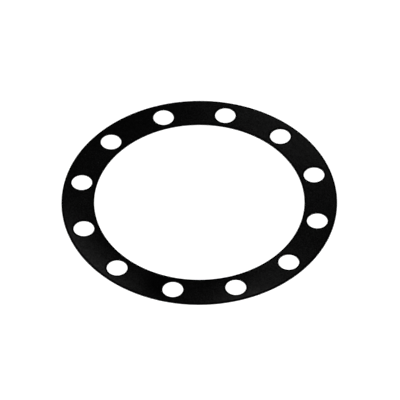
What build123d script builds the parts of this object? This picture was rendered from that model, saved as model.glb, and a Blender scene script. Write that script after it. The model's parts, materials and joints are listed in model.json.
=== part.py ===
"""Full-face flange gasket of thin rubber sheet, with twelve bolt holes, in millimetres.

One stroke of a steel-rule die cuts the outer edge, the port and the bolt holes
out of flat sheet, so the gasket is one solid.  +Z points out of the face that
the die enters.  The origin is the centre of the face that the die leaves, on
which the gasket lies.  The bolt holes straddle the X and Y axes, as they do on
the flanges that the gasket seals.
"""

from build123d import *

import os

# Driving dimensions
port_diameter = 183.0  # clear opening in the middle
inner_land = 4.5  # rubber between the port and a bolt hole
outer_land = 6.0  # rubber between a bolt hole and the outer edge
bolt_diameter = 16.0  # M16
bolt_clearance = 2.0  # a bolt hole's diameter less its bolt's
bolt_count = 12
sheet_thickness = 1.0
edge_bevel = 0.15  # left by the die's blade along the edges it enters by

# Sizes that follow, outwards from the port
bolt_hole_diameter = bolt_diameter + bolt_clearance
bolt_circle_diameter = port_diameter + 2 * inner_land + bolt_hole_diameter
outer_diameter = bolt_circle_diameter + bolt_hole_diameter + 2 * outer_land
first_bolt_angle = 360 / bolt_count / 2  # half a pitch from +X

with BuildPart() as flange_gasket:
    # The die's outline, all of it cut at once
    with BuildSketch(Plane.XY):
        Circle(outer_diameter / 2)
        Circle(port_diameter / 2, mode=Mode.SUBTRACT)
        with PolarLocations(bolt_circle_diameter / 2, bolt_count, first_bolt_angle):
            Circle(bolt_hole_diameter / 2, mode=Mode.SUBTRACT)
    extrude(amount=sheet_thickness)

    # The entry face's edges are slightly bevelled, and the exit face's stay crisp
    entry_face = flange_gasket.faces().sort_by(Axis.Z)[-1]
    chamfer(entry_face.edges(), length=edge_bevel)

flange_gasket.part.label = "flange_gasket"

os.makedirs("parts", exist_ok=True)
export_step(flange_gasket.part, "parts/flange_gasket.step")

print(f"outer diameter {outer_diameter:g}, bolt circle {bolt_circle_diameter:g}")
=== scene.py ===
"""Looks of a full-face flange gasket, die-cut from thin black rubber sheet.

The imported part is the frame: its mounts and its mesh give every size of the
cut.  One piece stands for the whole gasket, because the real one is a single
cut of sheet.  One bolt hole's share of the ring is modelled, turned round the
axis once for every hole, and closed into a ring.  The ring then gets its
thickness, and the dished wall and the rolled edge that the die leaves.

Lengths are in metres unless a name or a comment says millimetres.
"""

import json
import logging
import math
from collections.abc import Callable, Iterator
from contextlib import contextmanager
from dataclasses import dataclass, field
from enum import Enum
from typing import Any

import bmesh
import bpy
from mathutils import Matrix, Vector


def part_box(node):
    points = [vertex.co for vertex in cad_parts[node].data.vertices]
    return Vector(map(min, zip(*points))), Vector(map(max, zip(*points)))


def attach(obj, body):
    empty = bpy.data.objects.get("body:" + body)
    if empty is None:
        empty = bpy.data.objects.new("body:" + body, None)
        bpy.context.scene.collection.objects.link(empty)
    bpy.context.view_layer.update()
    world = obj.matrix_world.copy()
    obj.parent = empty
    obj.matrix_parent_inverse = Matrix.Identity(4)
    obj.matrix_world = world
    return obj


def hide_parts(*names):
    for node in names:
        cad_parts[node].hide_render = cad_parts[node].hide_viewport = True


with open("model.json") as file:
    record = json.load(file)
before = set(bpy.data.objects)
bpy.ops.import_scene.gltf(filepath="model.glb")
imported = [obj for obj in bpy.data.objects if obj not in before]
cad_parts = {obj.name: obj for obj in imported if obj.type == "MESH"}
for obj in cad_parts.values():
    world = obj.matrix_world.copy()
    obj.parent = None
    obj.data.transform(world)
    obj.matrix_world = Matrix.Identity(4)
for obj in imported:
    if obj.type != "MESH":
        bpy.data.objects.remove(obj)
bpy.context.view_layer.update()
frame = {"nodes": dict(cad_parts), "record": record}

NODE = "flange_gasket"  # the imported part's only node
BODY = "root"  # its only body
LOG = logging.getLogger(NODE)

MM = 0.001
ORIGIN = (0.0, 0.0, 0.0)
EVEN = (1.0, 1.0, 1.0)
WHITE = (1.0, 1.0, 1.0, 1.0)
CLOSE = 0.01 * MM  # two places nearer than this are the same
SMOOTH_BELOW_DEG = 40.0  # edges that turn less than this are shaded smooth
FLAT = 0.99  # a face whose normal rises or falls this much is on one of the broad sides
PAINTED_SHEEN = "painted_sheen"  # the attribute that holds the painted sheen, a lighter tone painted into the colour, from 0 to 1

Triple = tuple[float, float, float]
Range = tuple[float, float]  # its lower end and its upper end
Socket = bpy.types.NodeSocket
Inputs = dict[str | int, Any]  # a node's inputs by name or number: values, sockets or None


# --------------------------------------------------------------------------
# Modelling helpers


@contextmanager
def editing(piece: bpy.types.Object) -> Iterator[None]:
    """Hold one piece in edit mode, with nothing else selected.

    Args:
        piece: The mesh object to edit.

    Yields:
        Nothing; the mesh is in edit mode inside the block.
    """
    bpy.ops.object.select_all(action="DESELECT")
    bpy.context.view_layer.objects.active = piece
    piece.select_set(True)
    bpy.ops.object.mode_set(mode="EDIT")
    bpy.ops.mesh.select_all(action="DESELECT")
    try:
        yield
    finally:
        bpy.ops.object.mode_set(mode="OBJECT")


class Pick(Enum):
    """What a selection is made of."""

    VERTS = "VERT"
    EDGES = "EDGE"
    FACES = "FACE"


def select(kind: Pick, wanted: Callable[[Any], bool] = lambda element: True) -> None:
    """Select the edited mesh's elements that pass a test, and nothing else.

    Args:
        kind: The kind of element to look at.
        wanted: Takes a bmesh element and says whether it is selected; without it, all are.
    """
    bpy.ops.mesh.select_mode(type=kind.value)
    bpy.ops.mesh.select_all(action="DESELECT")
    data = bpy.context.edit_object.data
    mesh = bmesh.from_edit_mesh(data)
    elements = {Pick.VERTS: mesh.verts, Pick.EDGES: mesh.edges, Pick.FACES: mesh.faces}[kind]
    for element in elements:
        if wanted(element):
            element.select_set(True)
    bmesh.update_edit_mesh(data)


def middle(edge: bmesh.types.BMEdge) -> Vector:
    """Return the midpoint of an edge."""
    return (edge.verts[0].co + edge.verts[1].co) / 2


def turn_of(point: Vector) -> float:
    """Return a point's angle from +X towards +Y, from -pi to pi."""
    return math.atan2(point.y, point.x)


def extrude_and_scale(factor: float, centre: Triple | Vector) -> None:
    """Extrude the selected loop flat, and scale the new loop about a centre."""
    bpy.ops.mesh.extrude_region_move()
    bpy.ops.transform.resize(value=(factor, factor, 1.0), center_override=centre)


def extrude_up(height: float) -> None:
    """Extrude all of the edited mesh that is selected straight up."""
    bpy.ops.mesh.extrude_region_move(TRANSFORM_OT_translate={"value": (0.0, 0.0, height)})


def smoothstep(low: float, high: float, value: float) -> float:
    """Return a smooth rise from 0 at low to 1 at high."""
    share = min(1.0, max(0.0, (value - low) / (high - low)))
    return share * share * (3.0 - 2.0 * share)


# --------------------------------------------------------------------------
# The gasket


@dataclass(frozen=True)
class CutSizes:
    """Sizes of the die's cut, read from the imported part.

    Attributes:
        port_radius: Radius of the clear middle.
        bolt_circle_radius: Radius of the circle that the bolt holes stand on.
        hole_radius: Radius of one bolt hole.
        hole_count: How many bolt holes there are.
        outer_radius: Radius of the outer edge.
        thickness: The sheet's thickness.
    """

    port_radius: float
    bolt_circle_radius: float
    hole_radius: float
    hole_count: int
    outer_radius: float
    thickness: float

    @classmethod
    def from_frame(cls, record: dict[str, Any], node: bpy.types.Object) -> "CutSizes":
        """Read the sizes.

        Args:
            record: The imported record.
            node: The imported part's mesh.

        Returns:
            The sizes of the cut, in metres.
        """
        dims = {mount["name"]: mount["dims"] for mount in record["mounts"]}
        low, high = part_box(node.name)
        return cls(
            port_radius=dims["port"]["r_mm"] * MM,
            bolt_circle_radius=dims["bolt_holes"]["pcd_mm"] / 2 * MM,
            hole_radius=dims["bolt_holes"]["hole_r_mm"] * MM,
            hole_count=dims["bolt_holes"]["count"],
            outer_radius=max(vertex.co.xy.length for vertex in node.data.vertices),
            thickness=high.z - low.z,
        )

    @property
    def pitch(self) -> float:
        """Return the angle from one bolt hole to the next, in radians."""
        return math.tau / self.hole_count

    def hole_centre(self, index: int) -> Vector:
        """Return the centre of a bolt hole; the holes straddle X and Y."""
        angle = (index + 0.5) * self.pitch
        return self.bolt_circle_radius * Vector((math.cos(angle), math.sin(angle), 0.0))

    def across(self, point: Vector) -> float:
        """Return how far a point lies across the ring, 0 at the port and 1 outside."""
        return (point.xy.length - self.port_radius) / (self.outer_radius - self.port_radius)

    def from_cut(self, point: Vector) -> float:
        """Measure a point's distance from the nearest cut, seen from above.

        Args:
            point: The point; its height doesn't count.

        Returns:
            The distance, which is negative inside a hole.
        """
        flat = Vector((point.x, point.y, 0.0))
        to_hole_centre = min((flat - self.hole_centre(i)).length for i in range(self.hole_count))
        return min(
            flat.length - self.port_radius,
            self.outer_radius - flat.length,
            to_hole_centre - self.hole_radius,
        )


@dataclass(frozen=True)
class Patch:
    """A stretch of the ring that differs from the rest, and fades out at both ends.

    Attributes:
        angle_deg: Its middle, from +X towards +Y.
        reach_deg: How far it reaches to each side of its middle.
        port_side: Its value along the port.
        crown: What it adds midway across the ring.
        outer_side: Its value along the outer edge.
    """

    angle_deg: float
    reach_deg: float
    port_side: float = 0.0
    crown: float = 0.0
    outer_side: float = 0.0

    def at(self, angle_deg: float, across: float) -> float:
        """Return the patch's value at a place on the ring.

        Args:
            angle_deg: The place's angle.
            across: 0 at the port and 1 at the outer edge.

        Returns:
            The value, which is 0 outside the patch.
        """
        away = abs((angle_deg - self.angle_deg + 180.0) % 360.0 - 180.0)
        if away >= self.reach_deg:
            return 0.0
        fade = 0.5 + 0.5 * math.cos(math.pi * away / self.reach_deg)
        sides = self.port_side * (1.0 - across) + self.outer_side * across
        # The crown is a parabola, whole midway across and nothing at both sides
        crown = self.crown * 4.0 * across * (1.0 - across)
        return fade * (sides + crown)


class Zone(Enum):
    """Parts of the gasket's surface, by the number of their material slot."""

    FACE = 0
    CUT = 1


@dataclass
class FlangeGasket:
    """The gasket, as one closed piece of sheet.

    Attributes:
        cut: Sizes of the die's cut.
        arc_steps: Edges round the port in one bolt hole's share of the ring.
        side_steps: Edges along each side of that share.
        rows: Rows of faces between a bolt hole's collar and the share's sides.
        band: Width of the strip beside each cut, which has loops of its own.
        sheen_free: Share of that strip that is left without painted sheen, so that it renders
            darker.
        dish: How far the cut wall is hollowed at half its height.
        roll: Radius of the rolled edge on the side that the die enters.
        roll_steps: Faces across that rolled edge.
        painted_sheen: Level of the sheen painted into the colour, from 0 to 1, where no patch is.
        sheen_patches: Stretches where more or less sheen is painted than on the rest, some
            lighter, some darker.
        piece: The mesh object, from the moment that its outline is started.
    """

    cut: CutSizes
    arc_steps: int = 32
    side_steps: int = 16
    rows: int = 8
    band: float = 1.9 * MM
    # Beside each cut no sheen is painted, so that strip renders darker
    sheen_free: float = 0.7
    dish: float = 0.03 * MM
    roll: float = 0.15 * MM
    roll_steps: int = 3
    # Painted sheen: a lighter tone painted into the rubber's colour, at this level over the whole
    # ring
    painted_sheen: float = 0.22
    # Stretches where more or less sheen is painted into the colour, which makes them lighter or
    # darker
    sheen_patches: tuple[Patch, ...] = (
        Patch(43.0, 54.0, port_side=0.26, outer_side=0.42),
        Patch(112.0, 40.0, port_side=-0.08, outer_side=-0.14),
        Patch(150.0, 50.0, port_side=-0.06, outer_side=-0.10),
        Patch(214.0, 42.0, port_side=-0.14, crown=-0.20, outer_side=1.05),
        Patch(250.0, 16.0, port_side=-0.28, crown=-0.15, outer_side=-0.05),
        Patch(270.0, 12.0, port_side=-0.14),
        Patch(289.0, 24.0, port_side=-0.10, crown=-0.15, outer_side=0.95),
        Patch(312.0, 22.0, port_side=0.33, outer_side=0.12),
    )
    piece: bpy.types.Object = field(init=False, repr=False)

    def build(self) -> bpy.types.Object:
        """Model the gasket.

        Returns:
            The finished mesh object, at the origin.
        """
        self._start_share()
        with editing(self.piece):
            self._fill_share()
            self._turn_round()
            self._close_rims()
            self._thicken()
            self._dish_walls()
            self._roll_edges()
        self._mark_painted_sheen()
        self._smooth()
        return self.piece

    def _start_share(self) -> None:
        """Outline one bolt hole's share of the ring, short of the rims."""
        inner = self.cut.port_radius + self.band
        outer = self.cut.outer_radius - self.band
        bpy.ops.object.select_all(action="DESELECT")
        bpy.ops.mesh.primitive_circle_add(
            vertices=self.arc_steps * self.cut.hole_count, radius=inner, location=ORIGIN
        )
        self.piece = bpy.context.active_object
        self.piece.name = self.piece.data.name = "gasket_sheet"
        slack = CLOSE / inner
        side = outer - inner
        with editing(self.piece):
            select(Pick.VERTS, lambda v: not -slack <= turn_of(v.co) <= self.cut.pitch + slack)
            bpy.ops.mesh.delete(type="VERT")
            select(Pick.EDGES)
            extrude_and_scale(outer / inner, ORIGIN)
            # Only the outline stays: the two arcs, and the share's two straight sides
            select(Pick.EDGES, lambda e: len(e.link_faces) == 2)
            bpy.ops.mesh.delete(type="EDGE_FACE")
            select(Pick.EDGES, lambda e: abs(e.calc_length() - side) < CLOSE)
            bpy.ops.mesh.subdivide(number_cuts=self.side_steps - 1)

    def _fill_share(self) -> None:
        """Add the bolt hole with its collar, and join it to the share's outline."""
        centre = self.cut.hole_centre(0)
        hole = self.cut.hole_radius
        # The painted sheen starts to fade in at this radius; nearer the hole the strip has none
        # and renders darker
        sheen_start = hole + self.sheen_free * self.band
        collar = hole + self.band
        bpy.ops.mesh.primitive_circle_add(
            vertices=2 * (self.arc_steps + self.side_steps),
            radius=hole,
            location=centre,
            rotation=(0.0, 0.0, self.cut.pitch / 2),
        )
        extrude_and_scale(sheen_start / hole, centre)
        extrude_and_scale(collar / sheen_start, centre)
        select(
            Pick.EDGES,
            lambda e: len(e.link_faces) < 2 and (middle(e) - centre).length > sheen_start,
        )
        bpy.ops.mesh.bridge_edge_loops(
            number_cuts=self.rows - 1, interpolation="LINEAR", smoothness=0.0
        )

    def _turn_round(self) -> None:
        """Repeat the share once for every bolt hole, and weld the shares."""
        select(Pick.FACES)
        bpy.ops.mesh.spin(
            steps=self.cut.hole_count - 1,
            dupli=True,
            angle=math.tau - self.cut.pitch,
            center=ORIGIN,
            axis=(0.0, 0.0, 1.0),
        )
        bpy.ops.mesh.select_all(action="SELECT")
        bpy.ops.mesh.remove_doubles(threshold=CLOSE)

    def _close_rims(self) -> None:
        """Extend the ring by its two strips, in to the port and out to the edge."""
        self._close_rim(self.cut.port_radius, self.band)
        self._close_rim(self.cut.outer_radius, -self.band)

    def _close_rim(self, rim: float, band: float) -> None:
        """Extend the ring by the strip beside one rim.

        Args:
            rim: The rim's radius.
            band: How much larger the strip's other radius is; negative at the outer edge.
        """
        start = rim + band
        # The painted sheen starts to fade in at this radius; nearer the rim the strip has none
        # and renders darker
        sheen_start = rim + self.sheen_free * band
        select(
            Pick.EDGES,
            lambda e: e.is_boundary and all(abs(v.co.length - start) < CLOSE for v in e.verts),
        )
        extrude_and_scale(sheen_start / start, ORIGIN)
        extrude_and_scale(rim / sheen_start, ORIGIN)

    def _thicken(self) -> None:
        """Give the flat ring its thickness, upwards from the floor, in two lifts."""
        select(Pick.FACES)
        extrude_up(self.cut.thickness / 2)
        extrude_up(self.cut.thickness / 2)
        bpy.ops.mesh.select_all(action="SELECT")
        bpy.ops.mesh.normals_make_consistent(inside=False)

    def _dish_walls(self) -> None:
        """Hollow every cut wall a little at half its height."""
        half = self.cut.thickness / 2
        select(Pick.VERTS, lambda v: abs(v.co.z - half) < CLOSE)
        bpy.ops.transform.shrink_fatten(value=-self.dish)

    def _roll_edges(self) -> None:
        """Round the edges of the upper side, where the die goes in."""
        top = self.cut.thickness - CLOSE
        select(
            Pick.EDGES,
            lambda e: middle(e).z > top and any(abs(f.normal.z) < FLAT for f in e.link_faces),
        )
        bpy.ops.mesh.bevel(offset=self.roll, segments=self.roll_steps, affect="EDGES")

    def _painted_sheen_at(self, point: Vector) -> float:
        """Work out how much sheen is painted at a point.

        Args:
            point: The point.

        Returns:
            The painted sheen, from 0 to 1.
        """
        angle_deg = math.degrees(turn_of(point))
        across = self.cut.across(point)
        painted_sheen = self.painted_sheen + sum(patch.at(angle_deg, across) for patch in self.sheen_patches)
        # Beside each cut the painted sheen fades out, so that strip renders darker
        sheen_share = smoothstep(self.sheen_free * self.band, self.band, self.cut.from_cut(point))
        return sheen_share * min(1.0, max(0.0, painted_sheen))

    def _mark_painted_sheen(self) -> None:
        """Store how much sheen is painted at each vertex."""
        mesh = self.piece.data
        painted_sheen = mesh.attributes.new(PAINTED_SHEEN, "FLOAT", "POINT")
        for vertex in mesh.vertices:
            painted_sheen.data[vertex.index].value = self._painted_sheen_at(vertex.co)

    def _smooth(self) -> None:
        """Shade the piece smooth, and keep the broad faces' normals true."""
        bpy.ops.object.select_all(action="DESELECT")
        self.piece.select_set(True)
        bpy.context.view_layer.objects.active = self.piece
        bpy.ops.object.shade_smooth_by_angle(angle=math.radians(SMOOTH_BELOW_DEG))
        self.piece.modifiers.new("true_faces", "WEIGHTED_NORMAL").keep_sharp = True
        bpy.ops.object.modifier_apply(modifier="true_faces")

    def dress(self, finishes: dict[Zone, bpy.types.Material]) -> None:
        """Give each zone of the surface its finish.

        Args:
            finishes: The material of each zone.
        """
        for zone in Zone:
            self.piece.data.materials.append(finishes[zone])
        for face in self.piece.data.polygons:
            zone = Zone.FACE if abs(face.normal.z) > FLAT else Zone.CUT
            face.material_index = zone.value


# --------------------------------------------------------------------------
# Finishes


class Blend(Enum):
    """Ways to make one number of several."""

    PRODUCT = "MULTIPLY"
    LARGER = "MAXIMUM"
    SCALED_SUM = "MULTIPLY_ADD"


@dataclass(frozen=True)
class Pattern:
    """A random pattern on a surface.

    Attributes:
        size: Size of its features.
        stretch: Scale of the coordinates that it is drawn on.
        detail: How many finer layers it has.
        tone_swing: Most that it changes the tone to each side, as a share of it.
        rough_swing: Most that it changes the roughness to each side.
        relief: Most that it raises or lowers the surface.
    """

    size: float
    stretch: Triple = EVEN
    detail: float = 2.0
    tone_swing: float = 0.0
    rough_swing: float = 0.0
    relief: float = 0.0


class Shader:
    """A material under construction, with its surface shader.

    Attributes:
        material: The material.
        NOISE_ENDS: Values that random noise seldom goes beyond.
    """

    NOISE_ENDS = (0.3, 0.7)

    def __init__(self, name: str) -> None:
        """Start a material.

        Args:
            name: The material's name.
        """
        self.material = bpy.data.materials.new(name)
        self.material.use_nodes = True
        self._tree = self.material.node_tree
        self._surface = self._tree.nodes["Principled BSDF"]

    def node(self, kind: str, values: Inputs | None = None, **settings: str) -> bpy.types.Node:
        """Add a node.

        Args:
            kind: The node's type, without the word ShaderNode.
            values: The inputs to set or link.
            **settings: Properties of the node.

        Returns:
            The new node.
        """
        made = self._tree.nodes.new("ShaderNode" + kind)
        for name, value in settings.items():
            setattr(made, name, value)
        self._fill(made, values or {})
        return made

    def _fill(self, node: bpy.types.Node, values: Inputs) -> None:
        """Set or link inputs of a node.

        Args:
            node: The node.
            values: The inputs to set or link; None leaves an input as it is.
        """
        for key, value in values.items():
            if isinstance(value, Socket):
                self._tree.links.new(value, node.inputs[key])
            elif value is not None:
                node.inputs[key].default_value = value

    def finish(self, values: Inputs) -> bpy.types.Material:
        """Fill the surface shader's inputs.

        Args:
            values: The inputs to set or link.

        Returns:
            The finished material.
        """
        self._fill(self._surface, values)
        return self.material

    def place(self, stretch: Triple = EVEN) -> Socket:
        """Return the piece's own coordinates, scaled along each axis."""
        at = self.node("TexCoord").outputs["Object"]
        return self.node("Mapping", {"Vector": at, "Scale": stretch}).outputs["Vector"]

    def attribute(self, name: str) -> Socket:
        """Return a number stored on the piece."""
        return self.node("Attribute", attribute_name=name).outputs["Fac"]

    def blend(self, how: Blend, *values: Socket | float) -> Socket:
        """Return one number made of several."""
        return self.node("Math", dict(enumerate(values)), operation=how.value).outputs["Value"]

    def grey(self, tone: Socket) -> Socket:
        """Return a colour of one tone."""
        return self.node("CombineColor", {0: tone, 1: tone, 2: tone}).outputs["Color"]

    def ramp(self, value: Socket, before: Range, after: Range) -> Socket:
        """Map one range of numbers smoothly onto another.

        Args:
            value: The number to map.
            before: Ends of the range that it comes from.
            after: Ends of the range that it goes to.

        Returns:
            The mapped number, which stays between the ends.
        """
        values = {
            "Value": value,
            "From Min": before[0],
            "From Max": before[1],
            "To Min": after[0],
            "To Max": after[1],
        }
        made = self.node("MapRange", values, interpolation_type="SMOOTHSTEP")
        return made.outputs["Result"]

    def draw(self, pattern: Pattern) -> Socket:
        """Draw a random pattern on the piece's own coordinates.

        Args:
            pattern: The pattern.

        Returns:
            Its value, from -1 to 1.
        """
        values = {
            "Vector": self.place(pattern.stretch),
            "Scale": 1.0 / pattern.size,
            "Detail": pattern.detail,
        }
        noise = self.node("TexNoise", values).outputs["Fac"]
        return self.ramp(noise, self.NOISE_ENDS, (-1.0, 1.0))

    def bump(self, height: Socket, relief: float, before: Socket | None) -> Socket:
        """Bend the surface's normals by a relief.

        Args:
            height: The relief's shape, from -1 to 1.
            relief: Its height to each side.
            before: Normals that are already bent, or None.

        Returns:
            The bent normals.
        """
        values = {"Height": height, "Distance": relief, "Normal": before}
        return self.node("Bump", values).outputs["Normal"]


@dataclass(frozen=True)
class RubberSkin:
    """A black rubber surface.

    Attributes:
        name: The material's name.
        black: Tone of the rubber where no sheen is painted.
        gloss: Specular level.
        rough: Roughness of the rubber where no sheen is painted.
        patterns: What varies its tone, its gloss and its relief.
        sheen_tone: What full painted sheen adds to the tone, as a lighter colour.
        sheen_rough: What full painted sheen adds to the roughness.
    """

    name: str
    black: float
    gloss: float
    rough: float
    patterns: tuple[Pattern, ...]
    sheen_tone: float = 0.0
    sheen_rough: float = 0.0

    def material(self) -> bpy.types.Material:
        """Build the material.

        Returns:
            The material.
        """
        shader = Shader(self.name)
        # The painted sheen stored on the piece lightens the colour and raises the roughness
        painted_sheen = shader.attribute(PAINTED_SHEEN)
        tone = shader.blend(Blend.SCALED_SUM, painted_sheen, self.sheen_tone, self.black)
        rough = shader.blend(Blend.SCALED_SUM, painted_sheen, self.sheen_rough, self.rough)
        normal = None
        for pattern in self.patterns:
            drawn = shader.draw(pattern)
            share = shader.blend(Blend.SCALED_SUM, drawn, pattern.tone_swing, 1.0)
            tone = shader.blend(Blend.PRODUCT, tone, share)
            rough = shader.blend(Blend.SCALED_SUM, drawn, pattern.rough_swing, rough)
            if pattern.relief:
                normal = shader.bump(drawn, pattern.relief, normal)
        return shader.finish(
            {
                "Base Color": shader.grey(tone),
                "Roughness": rough,
                "Specular IOR Level": self.gloss,
                "Normal": normal,
            }
        )


# Face of the sheet as it leaves the calender: satin, clouded, mottled and finely grained, with
# sheen painted into its colour
CALENDERED_SKIN = RubberSkin(
    name="calendered_skin",
    black=0.0004,
    gloss=0.06,
    rough=0.25,
    patterns=(
        Pattern(size=34.0 * MM, tone_swing=0.08, relief=0.08 * MM),
        Pattern(size=3.0 * MM, detail=3.0, tone_swing=0.20, rough_swing=0.01),
        Pattern(size=1.2 * MM, tone_swing=0.45, rough_swing=0.02, relief=0.002 * MM),
        Pattern(size=0.35 * MM, detail=1.0, tone_swing=0.15, rough_swing=0.03, relief=0.004 * MM),
    ),
    # Painted sheen: full sheen lightens the face's colour by this much and makes it rougher
    sheen_tone=0.01,
    sheen_rough=0.10,
)

# Wall that the die's blade leaves: dull, with fine drag lines across the sheet
CUT_SKIN = RubberSkin(
    name="cut_skin",
    black=0.0022,
    gloss=0.10,
    rough=0.55,
    patterns=(
        Pattern(
            size=0.28 * MM,
            stretch=(1.0, 1.0, 0.08),
            detail=3.0,
            tone_swing=0.4,
            rough_swing=0.08,
            relief=0.004 * MM,
        ),
    ),
)


@dataclass(frozen=True)
class StudioWhite:
    """Plain white paint that shows white where it is lit, and keeps shadows.

    Attributes:
        white: Colour of the paint.
        rough: Its roughness.
        lift: Light added for the eye near the gasket, so that the lit floor shows white.
        lift_far: Light added far from the gasket, where the lamp hardly reaches.
        near: Distance up to which the light added is that near the gasket.
        far: Distance from which it is that far from the gasket.
    """

    white: float = 0.82
    rough: float = 0.9
    lift: float = 0.32
    lift_far: float = 1.0
    near: float = 0.5
    far: float = 1.0

    def material(self) -> bpy.types.Material:
        """Build the material.

        Returns:
            The material.
        """
        shader = Shader("studio_white")
        ray = shader.node("LightPath").outputs
        seen = shader.blend(Blend.LARGER, ray["Is Camera Ray"], ray["Is Glossy Ray"])
        seen = shader.blend(Blend.LARGER, seen, ray["Is Transmission Ray"])
        length = shader.node("VectorMath", {0: shader.place()}, operation="LENGTH")
        distance = length.outputs["Value"]
        lift = shader.ramp(distance, (self.near, self.far), (self.lift, self.lift_far))
        return shader.finish(
            {
                "Base Color": (self.white, self.white, self.white, 1.0),
                "Roughness": self.rough,
                "Specular IOR Level": 0.0,
                "Emission Color": WHITE,
                "Emission Strength": shader.blend(Blend.PRODUCT, seen, lift),
            }
        )


# --------------------------------------------------------------------------
# The studio


@dataclass(frozen=True)
class Cove:
    """A white floor that curves up into a low round wall.

    Attributes:
        radius: Radius of the wall.
        bend: Radius of the curve from floor to wall.
        height: Height of the wall.
        steps: Edges round the wall.
        bend_steps: Faces up the curve.
        paint: The finish of all of it.
    """

    radius: float = 9.0
    bend: float = 2.0
    height: float = 4.0
    steps: int = 64
    bend_steps: int = 8
    paint: StudioWhite = StudioWhite()

    def build(self) -> None:
        """Model the cove and paint it."""
        flat = self.radius - self.bend
        bpy.ops.object.select_all(action="DESELECT")
        bpy.ops.mesh.primitive_circle_add(
            vertices=self.steps, radius=flat, fill_type="NGON", location=ORIGIN
        )
        cove = bpy.context.active_object
        cove.name = cove.data.name = "cove"
        reach, rise = flat, 0.0
        with editing(cove):
            for step in range(1, self.bend_steps + 1):
                turn = step / self.bend_steps * math.pi / 2
                next_reach = flat + self.bend * math.sin(turn)
                next_rise = self.bend * (1.0 - math.cos(turn))
                self._raise_rim(rise, next_reach / reach, next_rise - rise)
                reach, rise = next_reach, next_rise
            self._raise_rim(rise, 1.0, self.height - rise)
            bpy.ops.mesh.select_all(action="SELECT")
            bpy.ops.mesh.normals_make_consistent(inside=True)
        bpy.ops.object.shade_smooth_by_angle(angle=math.radians(SMOOTH_BELOW_DEG))
        cove.data.materials.append(self.paint.material())

    @staticmethod
    def _raise_rim(height: float, scale: float, rise: float) -> None:
        """Extrude the cove's rim, and scale and raise the new one.

        Args:
            height: How high the rim is now.
            scale: The new rim's radius as a share of the old one's.
            rise: How much higher the new rim is.
        """
        select(Pick.EDGES, lambda e: e.is_boundary and abs(middle(e).z - height) < MM)
        extrude_and_scale(scale, ORIGIN)
        bpy.ops.transform.translate(value=(0.0, 0.0, rise))


@dataclass(frozen=True)
class SoftBox:
    """A large square lamp that faces straight down.

    Attributes:
        centre: The middle of its cloth.
        side: Its width and depth.
        level: How bright a white floor at the origin becomes under it alone.
    """

    centre: Triple = (0.0, -1.2, 3.0)
    side: float = 4.5
    level: float = 0.97

    def build(self) -> None:
        """Hang the lamp."""
        light = bpy.data.lights.new("soft_box", "AREA")
        light.size = self.side
        # The cloth's radiance is the lamp's energy over pi times the cloth's area
        light.energy = self.level / self._view_share() * math.pi * self.side**2
        lamp = bpy.data.objects.new("soft_box", light)
        lamp.location = self.centre
        lamp.visible_camera = False
        bpy.context.scene.collection.objects.link(lamp)

    def _view_share(self) -> float:
        """Work out how much of the sky the lamp covers, as the floor at the origin sees it.

        Returns:
            The view factor from the floor at the origin to the lamp.
        """
        x, y, height = self.centre
        half = self.side / 2
        total = 0.0
        for reach_x in (half + x, half - x):
            for reach_y in (half + y, half - y):
                a, b = reach_x / height, reach_y / height
                slant_a, slant_b = math.hypot(1.0, a), math.hypot(1.0, b)
                total += a / slant_a * math.atan(b / slant_a)
                total += b / slant_b * math.atan(a / slant_b)
        return total / math.tau


@dataclass(frozen=True)
class StudioCamera:
    """A distant camera with a long lens, which looks down on the gasket.

    Attributes:
        lens_mm: Focal length.
        distance: From the camera to the gasket's centre, along the view.
        azimuth_deg: Turn of the camera round the gasket, from the -Y side.
        elevation_deg: Its height above the floor, as an angle.
        roll_deg: Turn of the camera about its own axis.
        aside: How far right of the gasket's centre the view is centred.
        above: How far above the gasket's centre the view is centred.
    """

    lens_mm: float = 735.7
    distance: float = 7.116
    azimuth_deg: float = -2.27
    elevation_deg: float = 47.56
    roll_deg: float = -0.22
    aside: float = 0.59 * MM
    above: float = 1.82 * MM

    def build(self) -> None:
        """Place the camera and make it the scene's own."""
        data = bpy.data.cameras.new("studio_camera")
        data.lens = self.lens_mm
        camera = bpy.data.objects.new("studio_camera", data)
        turn = (
            Matrix.Rotation(math.radians(self.azimuth_deg), 4, "Z")
            @ Matrix.Rotation(math.radians(90.0 - self.elevation_deg), 4, "X")
            @ Matrix.Rotation(math.radians(self.roll_deg), 4, "Z")
        )
        camera.matrix_world = turn @ Matrix.Translation((self.aside, self.above, self.distance))
        bpy.context.scene.collection.objects.link(camera)
        bpy.context.scene.camera = camera


@dataclass(frozen=True)
class Studio:
    """The cove, the lamp, the camera and the room's own light.

    Attributes:
        cove: The floor and wall.
        lamp: The lamp.
        camera: The camera.
        room_level: How bright a white floor becomes under the room's light alone.
    """

    cove: Cove = Cove()
    lamp: SoftBox = SoftBox()
    camera: StudioCamera = StudioCamera()
    room_level: float = 0.03

    def build(self) -> None:
        """Set up the studio."""
        self._light_room()
        for thing in (self.cove, self.lamp, self.camera):
            thing.build()
            LOG.info("studio: %s", type(thing).__name__)

    def _light_room(self) -> None:
        """Fill the scene with the room's even light, and show plain colours."""
        scene = bpy.context.scene
        scene.view_settings.view_transform = "Standard"
        scene.world = bpy.data.worlds.new("room")
        scene.world.use_nodes = True
        background = scene.world.node_tree.nodes["Background"]
        background.inputs["Color"].default_value = WHITE
        background.inputs["Strength"].default_value = self.room_level


# --------------------------------------------------------------------------
# Building it all


def main() -> None:
    """Build the gasket and its studio."""
    logging.basicConfig(level=logging.INFO, format="%(name)s: %(message)s")
    node = frame["nodes"][NODE]
    gasket = FlangeGasket(CutSizes.from_frame(frame["record"], node))
    piece = gasket.build()
    gasket.dress({Zone.FACE: CALENDERED_SKIN.material(), Zone.CUT: CUT_SKIN.material()})
    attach(piece, BODY)
    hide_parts(NODE)
    LOG.info("%s: %d faces", piece.name, len(piece.data.polygons))
    Studio().build()


if __name__ == "__main__":
    main()
